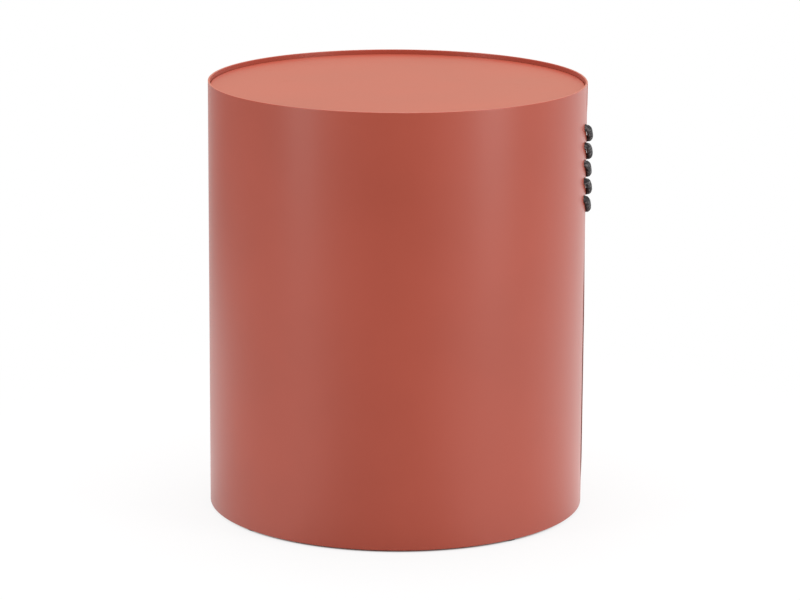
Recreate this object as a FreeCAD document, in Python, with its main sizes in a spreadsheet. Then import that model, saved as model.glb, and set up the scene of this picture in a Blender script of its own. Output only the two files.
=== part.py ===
import FreeCAD, Part
import math
import os
import Sketcher
from FreeCAD import Placement, Rotation, Vector

# Round side table: a drum rolled from steel sheet, laced shut with a braided cord.
# The wall's two ends meet in an upright seam, and five stitches of one cord cross it near the rim.
# A round plate lies recessed in the drum on a rolled angle ring, held by welded studs and nuts.
# A second angle ring keeps the lower edge round and carries four screwed glides.
# Millimetres. The origin is on the floor at the drum's axis, +Z is up and the seam is at +X.
# The two columns of lacing holes are called near, on the -Y side, and far, on the +Y side.

# Driving dimensions: alias, value, what it measures
SIZES = [
    ("drum_diameter", 400, "outside of the rolled wall"),
    ("table_height", 460, "floor to the rim"),
    ("wall_thickness", 2, "steel sheet of the wall"),
    ("wall_standoff", 3, "floor to the lower edge of the wall"),
    ("wall_edge_chamfer", 0.4, "eased upper and lower edges of the sheet"),
    ("seam_gap", 1, "between the two ends of the rolled sheet"),
    ("recess_depth", 5, "rim down to the top of the plate"),
    ("plate_thickness", 3, "top plate"),
    ("plate_clearance", 0.5, "edge of the plate to the wall"),
    ("plate_edge_chamfer", 0.6, "eased edge of the plate"),
    ("ring_clearance", 0.3, "ring to the inside of the wall"),
    ("ring_width", 20, "flat leg of the angle ring, along the radius"),
    ("ring_height", 20, "upright leg of the angle ring"),
    ("ring_thickness", 3, "both legs of the angle ring"),
    ("ring_root_fillet", 2, "filled inside corner of the angle"),
    ("hole_circle_inset", 11.5, "outside of the ring to the circle of its holes"),
    ("stud_count", 6, "studs welded under the plate"),
    ("stud_diameter", 5, "plate stud"),
    ("stud_length", 11, "plate stud, from the plate down"),
    ("stud_end_chamfer", 0.8, "end of a plate stud"),
    ("stud_hole_clearance", 0.4, "stud to its hole in the ring, all round"),
    ("washer_diameter", 10, "washer under the plate nut"),
    ("washer_thickness", 1, "washer under the plate nut"),
    ("washer_clearance", 0.15, "stud to the washer's bore, all round"),
    ("nut_flats", 8, "plate nut across its flats"),
    ("nut_height", 4, "plate nut"),
    ("nut_clearance", 0.05, "stud to the nut's bore, all round"),
    ("glide_count", 4, "glides under the lower ring"),
    ("glide_diameter", 20, "plastic foot"),
    ("glide_height", 8, "plastic foot"),
    ("glide_edge_chamfer", 1.2, "eased lower edge of the foot"),
    ("screw_diameter", 6, "threaded stem of the glide"),
    ("screw_length", 15, "threaded stem of the glide"),
    ("screw_depth", 5, "how deep the stem is moulded into the foot"),
    ("screw_end_chamfer", 0.9, "end of the stem"),
    ("screw_hole_clearance", 0.4, "stem to its hole in the ring, all round"),
    ("weld_nut_flats", 10, "weld nut across its flats"),
    ("weld_nut_height", 5, "weld nut on the lower ring"),
    ("weld_nut_clearance", 0.05, "stem to the weld nut's bore, all round"),
    ("cord_diameter", 7, "braided cord, over its corners"),
    ("cord_sides", 8, "sides of the cord's section"),
    ("cord_lift", 0.2, "cord to the wall where a stitch crosses the seam"),
    ("cord_lead", 4.5, "straight cord between a hole and its knot"),
    ("stitch_count", 5, "stitches over the seam"),
    ("stitch_pitch", 19, "from one stitch down to the next"),
    ("stitch_drop", 16.5, "near hole of a stitch down to its far hole"),
    ("stitch_span", 28, "near holes to far holes, across the seam"),
    ("lacing_top", 44, "rim down to the first near hole"),
    ("lacing_hole_diameter", 8.6, "hole that the cord passes"),
    ("knot_diameter", 21, "stopper knot at each end of the cord"),
    ("knot_length", 19, "stopper knot, along the cord"),
    ("knot_shoulder", 4, "sloping shoulder at each end of the knot"),
    ("tail_length", 10, "end of the cord past the knot"),
    ("tail_end_chamfer", 1.5, "melted end of the cord"),
    ("cut_overrun", 5, "how far every cut runs past what it cuts"),
]

# The largest chamfer as a share of the wall, leg or foot that it is on
CHAMFER_LIMIT_SHARE = 0.45
# How closely the cord's gap to itself is measured, as a share of its diameter
GAP_STEP_SHARE = 0.1

doc = FreeCAD.newDocument("side_table")
sheet = doc.addObject("Spreadsheet::Sheet", "Sizes")
for row, (alias, value, meaning) in enumerate(SIZES, start=1):
    sheet.set(f"A{row}", meaning)
    sheet.set(f"B{row}", str(value))
    sheet.setAlias(f"B{row}", alias)
doc.recompute()

# Derived sizes, as expressions on the sheet
WALL_OUTER = "(Sizes.drum_diameter / 2)"
WALL_INNER = f"({WALL_OUTER} - Sizes.wall_thickness)"
PLATE_TOP = "(Sizes.table_height - Sizes.recess_depth)"
PLATE_UNDER = f"({PLATE_TOP} - Sizes.plate_thickness)"
PLATE_RADIUS = f"({WALL_INNER} - Sizes.plate_clearance)"
RING_OUTER = f"({WALL_INNER} - Sizes.ring_clearance)"
RING_INNER = f"({RING_OUTER} - Sizes.ring_width)"
RING_FACE = f"({RING_OUTER} - Sizes.ring_thickness)"
HOLE_CIRCLE = f"({RING_OUTER} - Sizes.hole_circle_inset)"
UPPER_LEG_UNDER = f"({PLATE_UNDER} - Sizes.ring_thickness)"
WASHER_UNDER = f"({UPPER_LEG_UNDER} - Sizes.washer_thickness)"
NUT_UNDER = f"({WASHER_UNDER} - Sizes.nut_height)"
LOWER_LEG_TOP = "(Sizes.glide_height + Sizes.ring_thickness)"
FIRST_NEAR_HOLE = "(Sizes.table_height - Sizes.lacing_top)"
LAST_FAR_HOLE = (
    f"({FIRST_NEAR_HOLE} - Sizes.stitch_drop"
    " - (Sizes.stitch_count - 1) * Sizes.stitch_pitch)"
)
# Middle of the wall's sheet at the lacing holes, measured along X
HOLE_MIDDLE = (
    f"(sqrt(({WALL_OUTER} - Sizes.wall_thickness / 2) ^ 2"
    " - (Sizes.stitch_span / 2) ^ 2))"
)
KNOT_FACE = f"({HOLE_MIDDLE} - Sizes.cord_lead)"


def value_of(expression):
    """Number that an expression on the sheet gives."""
    return float(sheet.evalExpression(expression))


def eased(chamfer, wall):
    """Expression for a chamfer that stays within its share of the wall that carries it."""
    return f"min({chamfer}; {wall} * {CHAMFER_LIMIT_SHARE})"


def new_body(label):
    """A body named after the piece that it holds."""
    body = doc.addObject("PartDesign::Body", label)
    body.Label = label
    return body


def new_sketch(body, name, plane_role, height="0"):
    """A sketch on one of the body's own planes, lifted along the plane's normal."""
    sketch = body.newObject("Sketcher::SketchObject", name)
    plane = next(f for f in body.Origin.OriginFeatures if f.Role == plane_role)
    sketch.AttachmentSupport = [(plane, "")]
    sketch.MapMode = "FlatFace"
    sketch.setExpression("AttachmentOffset.Base.z", height)
    doc.recompute()
    return sketch


def bind(sketch, constraint, name, expression):
    """Adds a constraint and binds its value to an expression on the sheet."""
    index = sketch.addConstraint(constraint)
    sketch.renameConstraint(index, name)
    sketch.setExpression(f"Constraints.{name}", expression)


def draw_circle(sketch, name, x, y, radius):
    """A circle whose centre and radius follow expressions."""
    centre = Vector(value_of(x), value_of(y), 0)
    size = value_of(radius)
    index = sketch.addGeometry(Part.Circle(centre, Vector(0, 0, 1), size), False)
    bind(sketch, Sketcher.Constraint("DistanceX", -1, 1, index, 3, centre.x), f"{name}_x", x)
    bind(sketch, Sketcher.Constraint("DistanceY", -1, 1, index, 3, centre.y), f"{name}_y", y)
    bind(sketch, Sketcher.Constraint("Radius", index, size), f"{name}_radius", radius)


def draw_hexagon(sketch, x, flats):
    """A hexagon round a point on the sketch's X axis, by a construction circle through its corners."""
    centre = Vector(value_of(x), 0, 0)
    corner_radius = f"({flats} / sqrt(3))"
    size = value_of(corner_radius)
    circle = sketch.addGeometry(Part.Circle(centre, Vector(0, 0, 1), size), True)
    sketch.addConstraint(Sketcher.Constraint("PointOnObject", circle, 3, -1))
    bind(sketch, Sketcher.Constraint("DistanceX", -1, 1, circle, 3, centre.x), "hexagon_x", x)
    bind(sketch, Sketcher.Constraint("Radius", circle, size), "hexagon_corners", corner_radius)
    corners = []
    for step in range(6):
        angle = math.radians(60 * step)
        corners.append(centre + Vector(math.cos(angle), math.sin(angle), 0) * size)
    sides = []
    for step in range(6):
        side = Part.LineSegment(corners[step], corners[(step + 1) % 6])
        sides.append(sketch.addGeometry(side, False))
    for step in range(6):
        sketch.addConstraint(
            Sketcher.Constraint("Coincident", sides[step], 2, sides[(step + 1) % 6], 1))
        sketch.addConstraint(Sketcher.Constraint("PointOnObject", sides[step], 1, circle))
    for step in range(1, 6):
        sketch.addConstraint(Sketcher.Constraint("Equal", sides[0], sides[step]))
    sketch.addConstraint(Sketcher.Constraint("PointOnObject", sides[0], 1, -1))


def chamfer_corner(sketch, name, before, after, start, end, size):
    """Joins two outline lines by a slanted line that takes the same length off each."""
    edge = sketch.addGeometry(Part.LineSegment(start, end), False)
    sketch.addConstraint(Sketcher.Constraint("Coincident", before, 2, edge, 1))
    sketch.addConstraint(Sketcher.Constraint("Coincident", edge, 2, after, 1))
    for kind, run in (("DistanceX", end.x - start.x), ("DistanceY", end.y - start.y)):
        low, high = (1, 2) if run > 0 else (2, 1)
        constraint = Sketcher.Constraint(kind, edge, low, edge, high, abs(run))
        bind(sketch, constraint, f"{name}_{kind}", size)


def draw_outline(sketch, corners):
    """A closed outline of upright and level lines, anticlockwise as (x, y, chamfer or None).

    Each line is held by its distance from the axis that it runs along."""
    count = len(corners)
    points = [Vector(value_of(x), value_of(y), 0) for x, y, _ in corners]
    cuts = [value_of(chamfer) if chamfer else 0 for _, _, chamfer in corners]
    along = [(points[(i + 1) % count] - points[i]).normalize() for i in range(count)]
    starts = [points[i] + along[i] * cuts[i] for i in range(count)]
    ends = [points[i] - along[i - 1] * cuts[i] for i in range(count)]
    lines = []
    for i, (x, y, _) in enumerate(corners):
        segment = Part.LineSegment(starts[i], ends[(i + 1) % count])
        line = sketch.addGeometry(segment, False)
        lines.append(line)
        if abs(along[i].x) < abs(along[i].y):
            sketch.addConstraint(Sketcher.Constraint("Vertical", line))
            bind(sketch, Sketcher.Constraint("DistanceX", -1, 1, line, 1, points[i].x), f"x{i}", x)
        else:
            sketch.addConstraint(Sketcher.Constraint("Horizontal", line))
            bind(sketch, Sketcher.Constraint("DistanceY", -1, 1, line, 1, points[i].y), f"y{i}", y)
    for i, (_, _, chamfer) in enumerate(corners):
        if chamfer:
            chamfer_corner(sketch, f"c{i}", lines[i - 1], lines[i], ends[i], starts[i], chamfer)
        else:
            sketch.addConstraint(Sketcher.Constraint("Coincident", lines[i - 1], 2, lines[i], 1))


def revolve(body, sketch, axis="V_Axis"):
    """A full turn of a sketch round one of its own axes."""
    turned = body.newObject("PartDesign::Revolution", f"{body.Label}_turned")
    turned.Profile = sketch
    turned.ReferenceAxis = (sketch, [axis])
    turned.Angle = 360
    return turned


def revolve_off_axis(body, sketch, x):
    """A full turn of a sketch round an upright construction line at the distance x."""
    place = value_of(x)
    reach = value_of("Sizes.cut_overrun")
    line = sketch.addGeometry(
        Part.LineSegment(Vector(place, 0, 0), Vector(place, reach, 0)), True)
    sketch.addConstraint(Sketcher.Constraint("Vertical", line))
    sketch.addConstraint(Sketcher.Constraint("PointOnObject", line, 1, -1))
    bind(sketch, Sketcher.Constraint("DistanceX", -1, 1, line, 1, place), "axis_x", x)
    bind(sketch, Sketcher.Constraint("DistanceY", line, 1, line, 2, reach), "axis_length",
         "Sizes.cut_overrun")
    return revolve(body, sketch, "Axis0")


def repeat_round(body, feature, sketch, axis, count):
    """Copies a feature round the drum's axis."""
    pattern = body.newObject("PartDesign::PolarPattern", f"{body.Label}_pattern")
    pattern.Originals = [feature]
    pattern.Axis = (sketch, [axis])
    pattern.Angle = 360
    pattern.setExpression("Occurrences", count)
    body.Tip = pattern
    doc.recompute()
    return pattern


def cut_checked(body, before, what):
    """Stops the build when a cut took nothing away."""
    doc.recompute()
    if not body.Shape.Volume < before:
        raise RuntimeError(f"{what} cut nothing from {body.Label}")


# Rolled wall

def make_drum_wall():
    """The sheet's section swept nearly once round, open at the seam, with the lacing holes."""
    body = new_body("drum_wall")
    section = new_sketch(body, "wall_section", "XZ_Plane")
    edge = eased("Sizes.wall_edge_chamfer", "Sizes.wall_thickness")
    draw_outline(section, [
        (f"-{WALL_OUTER}", "Sizes.wall_standoff", edge),
        (f"-{WALL_INNER}", "Sizes.wall_standoff", edge),
        (f"-{WALL_INNER}", "Sizes.table_height", edge),
        (f"-{WALL_OUTER}", "Sizes.table_height", edge),
    ])
    rolled = body.newObject("PartDesign::Revolution", "wall_rolled")
    rolled.Profile = section
    rolled.ReferenceAxis = (section, ["V_Axis"])
    rolled.Midplane = True
    rolled.setExpression("Angle", f"360 deg - 2 * asin(Sizes.seam_gap / 2 / {WALL_OUTER})")
    doc.recompute()
    uncut = body.Shape.Volume

    holes = new_sketch(body, "lacing_holes", "YZ_Plane")
    radius = "Sizes.lacing_hole_diameter / 2"
    draw_circle(holes, "near", "-Sizes.stitch_span / 2", FIRST_NEAR_HOLE, radius)
    draw_circle(holes, "far", "Sizes.stitch_span / 2",
                f"{FIRST_NEAR_HOLE} - Sizes.stitch_drop", radius)
    punched = body.newObject("PartDesign::Pocket", "lacing_punched")
    punched.Profile = holes
    punched.Reversed = True
    punched.setExpression("Length", f"{WALL_OUTER} + Sizes.cut_overrun")
    cut_checked(body, uncut, "The first lacing holes")
    column = body.newObject("PartDesign::LinearPattern", "lacing_column")
    column.Originals = [punched]
    column.Direction = (holes, ["V_Axis"])
    column.Reversed = True
    column.setExpression("Length", "(Sizes.stitch_count - 1) * Sizes.stitch_pitch")
    column.setExpression("Occurrences", "Sizes.stitch_count")
    body.Tip = column
    doc.recompute()
    return body


# Top plate and what holds it

def make_top_plate():
    """A round plate with eased edges, a little smaller than the drum's inside."""
    body = new_body("top_plate")
    section = new_sketch(body, "plate_section", "XZ_Plane")
    edge = eased("Sizes.plate_edge_chamfer", "Sizes.plate_thickness")
    draw_outline(section, [
        ("0", PLATE_UNDER, None),
        (PLATE_RADIUS, PLATE_UNDER, edge),
        (PLATE_RADIUS, PLATE_TOP, edge),
        ("0", PLATE_TOP, None),
    ])
    revolve(body, section)
    return body


def make_stud_group(label, low, high, radius, end_chamfer, count, eased_end):
    """Round studs on the circle of holes, each with one chamfered end."""
    body = new_body(label)
    section = new_sketch(body, f"{label}_section", "XZ_Plane")
    outer = f"({HOLE_CIRCLE} + {radius})"
    end = eased(end_chamfer, radius)
    draw_outline(section, [
        (HOLE_CIRCLE, low, None),
        (outer, low, end if eased_end == "low" else None),
        (outer, high, end if eased_end == "high" else None),
        (HOLE_CIRCLE, high, None),
    ])
    stud = revolve_off_axis(body, section, HOLE_CIRCLE)
    doc.recompute()
    repeat_round(body, stud, section, "V_Axis", count)
    return body


def make_washer_group(label, low, thickness, radius, bore_radius, count):
    """Flat round washers on the circle of holes."""
    body = new_body(label)
    face = new_sketch(body, f"{label}_face", "XY_Plane", low)
    draw_circle(face, "rim", HOLE_CIRCLE, "0", radius)
    draw_circle(face, "bore", HOLE_CIRCLE, "0", bore_radius)
    pad = body.newObject("PartDesign::Pad", f"{label}_pad")
    pad.Profile = face
    pad.setExpression("Length", thickness)
    doc.recompute()
    repeat_round(body, pad, face, "N_Axis", count)
    return body


def make_nut_group(label, low, height, flats, bore_radius, count):
    """Hexagon nuts on the circle of holes."""
    body = new_body(label)
    face = new_sketch(body, f"{label}_face", "XY_Plane", low)
    draw_hexagon(face, HOLE_CIRCLE, flats)
    draw_circle(face, "bore", HOLE_CIRCLE, "0", bore_radius)
    pad = body.newObject("PartDesign::Pad", f"{label}_pad")
    pad.Profile = face
    pad.setExpression("Length", height)
    doc.recompute()
    repeat_round(body, pad, face, "N_Axis", count)
    return body


# Angle rings

def make_ring(label, corners, hole_radius, count):
    """A rolled angle closed into a ring, with a circle of holes in its flat leg."""
    body = new_body(label)
    section = new_sketch(body, f"{label}_section", "XZ_Plane")
    draw_outline(section, corners)
    revolve(body, section)
    doc.recompute()
    uncut = body.Shape.Volume
    holes = new_sketch(body, f"{label}_holes", "XY_Plane")
    draw_circle(holes, "hole", HOLE_CIRCLE, "0", hole_radius)
    drilled = body.newObject("PartDesign::Pocket", f"{label}_drilled")
    drilled.Profile = holes
    drilled.Reversed = True
    drilled.setExpression("Length", "Sizes.table_height")
    cut_checked(body, uncut, "The first hole")
    repeat_round(body, drilled, holes, "N_Axis", count)
    return body


def make_upper_ring():
    """Flat leg on top, under the plate, and the upright leg hanging along the wall."""
    root = eased("Sizes.ring_root_fillet", "Sizes.ring_width")
    foot = f"({PLATE_UNDER} - Sizes.ring_height)"
    return make_ring("upper_ring", [
        (RING_INNER, UPPER_LEG_UNDER, None),
        (RING_FACE, UPPER_LEG_UNDER, root),
        (RING_FACE, foot, None),
        (RING_OUTER, foot, None),
        (RING_OUTER, PLATE_UNDER, None),
        (RING_INNER, PLATE_UNDER, None),
    ], "(Sizes.stud_diameter / 2 + Sizes.stud_hole_clearance)", "Sizes.stud_count")


def make_lower_ring():
    """Flat leg at the bottom, on the glides, and the upright leg standing along the wall."""
    root = eased("Sizes.ring_root_fillet", "Sizes.ring_width")
    head = "(Sizes.glide_height + Sizes.ring_height)"
    return make_ring("lower_ring", [
        (RING_INNER, "Sizes.glide_height", None),
        (RING_OUTER, "Sizes.glide_height", None),
        (RING_OUTER, head, None),
        (RING_FACE, head, None),
        (RING_FACE, LOWER_LEG_TOP, root),
        (RING_INNER, LOWER_LEG_TOP, None),
    ], "(Sizes.screw_diameter / 2 + Sizes.screw_hole_clearance)", "Sizes.glide_count")


# Glides

GLIDE_LABELS = ["glide_back_right", "glide_back_left", "glide_front_left", "glide_front_right"]
# Angle of the first glide from the seam, in degrees
FIRST_GLIDE_ANGLE = 45


def make_glide(label, step):
    """A plastic foot with a blind bore for its threaded stem."""
    body = new_body(label)
    section = new_sketch(body, f"{label}_section", "XZ_Plane")
    foot = "(Sizes.glide_diameter / 2)"
    bore = "(Sizes.screw_diameter / 2)"
    bore_end = "(Sizes.glide_height - Sizes.screw_depth)"
    edge = eased("Sizes.glide_edge_chamfer", "Sizes.glide_height")
    draw_outline(section, [
        ("0", "0", None),
        (foot, "0", edge),
        (foot, "Sizes.glide_height", None),
        (bore, "Sizes.glide_height", None),
        (bore, bore_end, None),
        ("0", bore_end, None),
    ])
    revolve(body, section)
    angle = f"({FIRST_GLIDE_ANGLE} + {step} * 360 / Sizes.glide_count)"
    body.setExpression("Placement.Base.x", f"{HOLE_CIRCLE} * cos({angle})")
    body.setExpression("Placement.Base.y", f"{HOLE_CIRCLE} * sin({angle})")
    return body


def turn_to_glides(body):
    """Turns a piece that was made at the seam to the angle of the first glide."""
    body.Placement = Placement(Vector(0, 0, 0), Rotation(Vector(0, 0, 1), FIRST_GLIDE_ANGLE))


# Lacing

def quarter_turn(centre, radius, arrive, leave):
    """A quarter circle from the heading arrive to the heading leave, round a centre."""
    start = centre - leave * radius
    middle = centre + (arrive - leave) * (radius / math.sqrt(2))
    end = centre + arrive * radius
    return Part.Arc(start, middle, end).toShape()


def lacing_wire():
    """The cord's line from the upper knot's face to the lower knot's face.

    The cord leaves through a near hole, crosses the seam slanting down, goes in through the
    far hole and comes back inside to the next near hole. Each hole is passed square to X in
    the middle of the sheet, between two quarter turns whose radius lays the stitch on the wall."""
    outward = Vector(1, 0, 0)
    middle = value_of(HOLE_MIDDLE)
    half_span = value_of("Sizes.stitch_span / 2")
    first = value_of(FIRST_NEAR_HOLE)
    drop = value_of("Sizes.stitch_drop")
    pitch = value_of("Sizes.stitch_pitch")
    lead = value_of("Sizes.cord_lead")
    stitch_line = value_of(f"{WALL_OUTER} + Sizes.cord_lift + Sizes.cord_diameter / 2")
    radius = stitch_line - middle
    holes = []
    for stitch in range(int(value_of("Sizes.stitch_count"))):
        holes.append(Vector(middle, -half_span, first - stitch * pitch))
        holes.append(Vector(middle, half_span, first - stitch * pitch - drop))

    start = holes[0] - outward * lead
    edges = [Part.LineSegment(start, holes[0]).toShape()]
    side = outward
    for here, there in zip(holes[:-1], holes[1:]):
        along = (there - here).normalize()
        first_centre = here + along * radius
        last_centre = there - along * radius
        run = Part.LineSegment(first_centre + side * radius, last_centre + side * radius)
        edges.append(quarter_turn(first_centre, radius, side, along))
        edges.append(run.toShape())
        edges.append(quarter_turn(last_centre, radius, along, -side))
        side = -side
    end = holes[-1] - outward * lead
    edges.append(Part.LineSegment(holes[-1], end).toShape())
    return Part.Wire(edges), start, radius


def least_gap(wire, diameter, bend_radius):
    """Least distance between the surfaces of two stretches of the cord.

    Points nearer than half a turn along the cord belong to the same bend and aren't compared."""
    step = diameter * GAP_STEP_SHARE
    points = wire.discretize(Distance=step)
    apart = int(math.ceil(math.pi * bend_radius / step))
    least = None
    for index, point in enumerate(points):
        for other in points[index + apart:]:
            distance = point.distanceToPoint(other)
            if least is None or distance < least:
                least = distance
    return least - diameter


def cord_section(centre, radius):
    """The cord's section across X: a regular outline whose corners lie on its full diameter."""
    sides = int(value_of("Sizes.cord_sides"))
    corners = []
    for step in range(sides + 1):
        angle = 2 * math.pi * (step % sides) / sides
        corners.append(centre + Vector(0, math.cos(angle), math.sin(angle)) * radius)
    return Part.makePolygon(corners)


def make_lacing_cord():
    """One unbroken cord along the whole route of the lacing."""
    diameter = value_of("Sizes.cord_diameter")
    wire, start, bend_radius = lacing_wire()
    section = cord_section(start, diameter / 2)
    shell = Part.BRepOffsetAPI.MakePipeShell(wire)
    shell.add(section)
    shell.build()
    shell.makeSolid()
    cord = doc.addObject("Part::Feature", "lacing_cord")
    cord.Label = "lacing_cord"
    cord.Shape = shell.shape()
    cord.Placement = Placement()
    expected = Part.Face(section).Area * wire.Length
    print(f"cord: length {wire.Length:.1f} mm, bend radius {bend_radius:.2f} mm")
    print(f"cord: volume {cord.Shape.Volume:.0f} mm3, section times length {expected:.0f} mm3")
    print(f"cord: least gap to itself {least_gap(wire, diameter, bend_radius):.2f} mm")
    return cord


def make_knot(label, y, z):
    """A stopper knot inside the drum with the cord's short end behind it, turned round X."""
    body = new_body(label)
    section = new_sketch(body, f"{label}_section", "XZ_Plane")
    knot = "(Sizes.knot_diameter / 2)"
    cord = "(Sizes.cord_diameter / 2)"
    tail_end = "(Sizes.knot_length + Sizes.tail_length)"
    shoulder = eased("Sizes.knot_shoulder", "Sizes.knot_length")
    draw_outline(section, [
        (f"-{tail_end}", "0", None),
        ("0", "0", None),
        ("0", knot, shoulder),
        ("-Sizes.knot_length", knot, shoulder),
        ("-Sizes.knot_length", cord, None),
        (f"-{tail_end}", cord, eased("Sizes.tail_end_chamfer", cord)),
    ])
    revolve(body, section, "H_Axis")
    body.setExpression("Placement.Base.x", KNOT_FACE)
    body.setExpression("Placement.Base.y", y)
    body.setExpression("Placement.Base.z", z)
    return body


def make_table():
    """Every piece of the table, in the order in which it is put together."""
    stud_radius = "(Sizes.stud_diameter / 2)"
    screw_radius = "(Sizes.screw_diameter / 2)"
    screw_low = "(Sizes.glide_height - Sizes.screw_depth)"
    lower_ring = make_lower_ring()
    pieces = [make_drum_wall(), make_upper_ring(), lower_ring, make_top_plate()]
    pieces.append(make_stud_group(
        "plate_studs", f"({PLATE_UNDER} - Sizes.stud_length)", PLATE_UNDER,
        stud_radius, "Sizes.stud_end_chamfer", "Sizes.stud_count", "low"))
    pieces.append(make_washer_group(
        "plate_washers", WASHER_UNDER, "Sizes.washer_thickness", "Sizes.washer_diameter / 2",
        f"{stud_radius} + Sizes.washer_clearance", "Sizes.stud_count"))
    pieces.append(make_nut_group(
        "plate_nuts", NUT_UNDER, "Sizes.nut_height", "Sizes.nut_flats",
        f"{stud_radius} + Sizes.nut_clearance", "Sizes.stud_count"))
    for step, label in enumerate(GLIDE_LABELS):
        pieces.append(make_glide(label, step))
    glide_screws = make_stud_group(
        "glide_screws", screw_low, f"({screw_low} + Sizes.screw_length)",
        screw_radius, "Sizes.screw_end_chamfer", "Sizes.glide_count", "high")
    weld_nuts = make_nut_group(
        "weld_nuts", LOWER_LEG_TOP, "Sizes.weld_nut_height", "Sizes.weld_nut_flats",
        f"{screw_radius} + Sizes.weld_nut_clearance", "Sizes.glide_count")
    for body in (lower_ring, glide_screws, weld_nuts):
        turn_to_glides(body)
    pieces += [glide_screws, weld_nuts, make_lacing_cord()]
    half_span = "Sizes.stitch_span / 2"
    pieces.append(make_knot("upper_knot", f"-{half_span}", FIRST_NEAR_HOLE))
    pieces.append(make_knot("lower_knot", half_span, LAST_FAR_HOLE))
    return pieces


def check_and_export(pieces):
    """Stops at anything that failed, then writes one file for each piece."""
    doc.recompute()
    for thing in doc.Objects:
        if "Invalid" in thing.State or "Error" in thing.State:
            raise RuntimeError(f"{thing.Label} failed: {thing.State}")
    for piece in pieces:
        if piece.Shape.isNull() or not piece.Shape.isValid():
            raise RuntimeError(f"{piece.Label} has no valid shape")
        if not piece.Shape.Solids:
            raise RuntimeError(f"{piece.Label} holds no solid")
    os.makedirs("parts", exist_ok=True)
    for piece in pieces:
        piece.Shape.exportStep(os.path.join("parts", f"{piece.Label}.step"))
        print(f"{piece.Label}: {len(piece.Shape.Solids)} solids, {piece.Shape.Volume:.0f} mm3")


check_and_export(make_table())
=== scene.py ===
"""A round drum side table, dressed for the camera.

The drum is one rolled sheet of coated steel. Its upright seam is laced shut with one braided cord,
which is stopped inside by a knot at each end. A round plate lies just under the rim, bolted to a
rolled angle ring. A second ring keeps the lower edge round and carries four glides.

Each part of the table has its own operator. Its meshes are surfaces over two parameters, worked
out as whole arrays, in metres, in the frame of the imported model.
"""

import math

import bpy
import numpy as np
from mathutils import Matrix, Vector


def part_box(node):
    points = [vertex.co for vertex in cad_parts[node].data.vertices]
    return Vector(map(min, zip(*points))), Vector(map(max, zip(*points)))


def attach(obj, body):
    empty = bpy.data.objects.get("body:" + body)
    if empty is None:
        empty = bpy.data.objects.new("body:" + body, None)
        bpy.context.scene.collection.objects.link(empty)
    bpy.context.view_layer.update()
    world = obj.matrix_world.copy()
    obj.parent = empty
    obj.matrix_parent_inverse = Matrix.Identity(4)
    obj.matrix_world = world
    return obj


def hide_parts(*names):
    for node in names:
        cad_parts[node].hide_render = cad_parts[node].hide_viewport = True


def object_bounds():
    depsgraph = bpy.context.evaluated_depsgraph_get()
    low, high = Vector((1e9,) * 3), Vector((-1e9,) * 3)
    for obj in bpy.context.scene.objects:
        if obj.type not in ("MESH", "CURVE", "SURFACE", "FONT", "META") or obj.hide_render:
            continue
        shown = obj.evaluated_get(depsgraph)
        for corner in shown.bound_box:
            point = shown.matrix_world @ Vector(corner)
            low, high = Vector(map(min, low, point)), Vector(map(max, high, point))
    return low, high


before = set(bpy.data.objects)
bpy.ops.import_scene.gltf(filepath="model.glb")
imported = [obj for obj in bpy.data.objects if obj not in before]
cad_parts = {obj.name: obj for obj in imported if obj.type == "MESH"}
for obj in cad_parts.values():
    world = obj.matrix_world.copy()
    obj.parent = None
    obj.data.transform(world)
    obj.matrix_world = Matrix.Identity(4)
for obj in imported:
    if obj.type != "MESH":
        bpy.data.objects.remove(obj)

bl_info = {
    "name": "Laced drum table",
    "version": (1, 0, 0),
    "blender": (4, 5, 0),
    "location": "3D View > Sidebar > Drum Table",
    "description": "Rolls, laces and finishes a round side table of sheet steel",
    "category": "Add Mesh",
}

TABLE_LOW, TABLE_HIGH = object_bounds()
BODY = "root"
MILLIMETRE = 0.001

# Angles round the drum, from +X towards +Y
STUD_ANGLES = np.radians(60.0 * np.arange(6))
GLIDES = ("glide_back_right", "glide_back_left", "glide_front_left", "glide_front_right")
GLIDE_ANGLES = np.radians(45.0 + 90.0 * np.arange(4))


# Sizes and colours that a user would change

def quantity(label, meaning, default, **settings):
    """A number; the settings say in what unit and range it is shown."""
    return bpy.props.FloatProperty(name=label, description=meaning, default=default, **settings)


def length(label, meaning, default):
    """A size in metres, shown in the scene's own unit."""
    return quantity(label, meaning, default, min=0.0, precision=5, unit="LENGTH")


def share(label, meaning, default):
    """A number from 0 to 1."""
    return quantity(label, meaning, default, min=0.0, max=1.0, subtype="FACTOR")


def count(label, meaning, default, least):
    """A whole number."""
    return bpy.props.IntProperty(name=label, description=meaning, default=default, min=least)


def colour(label, meaning, default):
    """A colour in linear light."""
    return bpy.props.FloatVectorProperty(
        name=label, description=meaning, default=default, min=0.0, max=1.0, size=3, subtype="COLOR")


class DrumSizes(bpy.types.PropertyGroup):
    """The rolled sheet."""
    radius: length("Radius", "Outer radius of the drum", 0.200)
    thickness: length("Sheet", "Thickness of the rolled sheet", 0.002)
    rounding: length("Edge rounding", "Radius left on cut edges by deburring and coating", 0.0005)
    seam_gap: length("Seam gap", "How far apart the two ends of the sheet stand", 0.001)
    proud: length("Proud end", "How far the far end springs out where the lacing doesn't hold it", 0.0008)
    proud_reach: length("Proud reach", "How far round the drum the sprung end reaches", 0.035)


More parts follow.
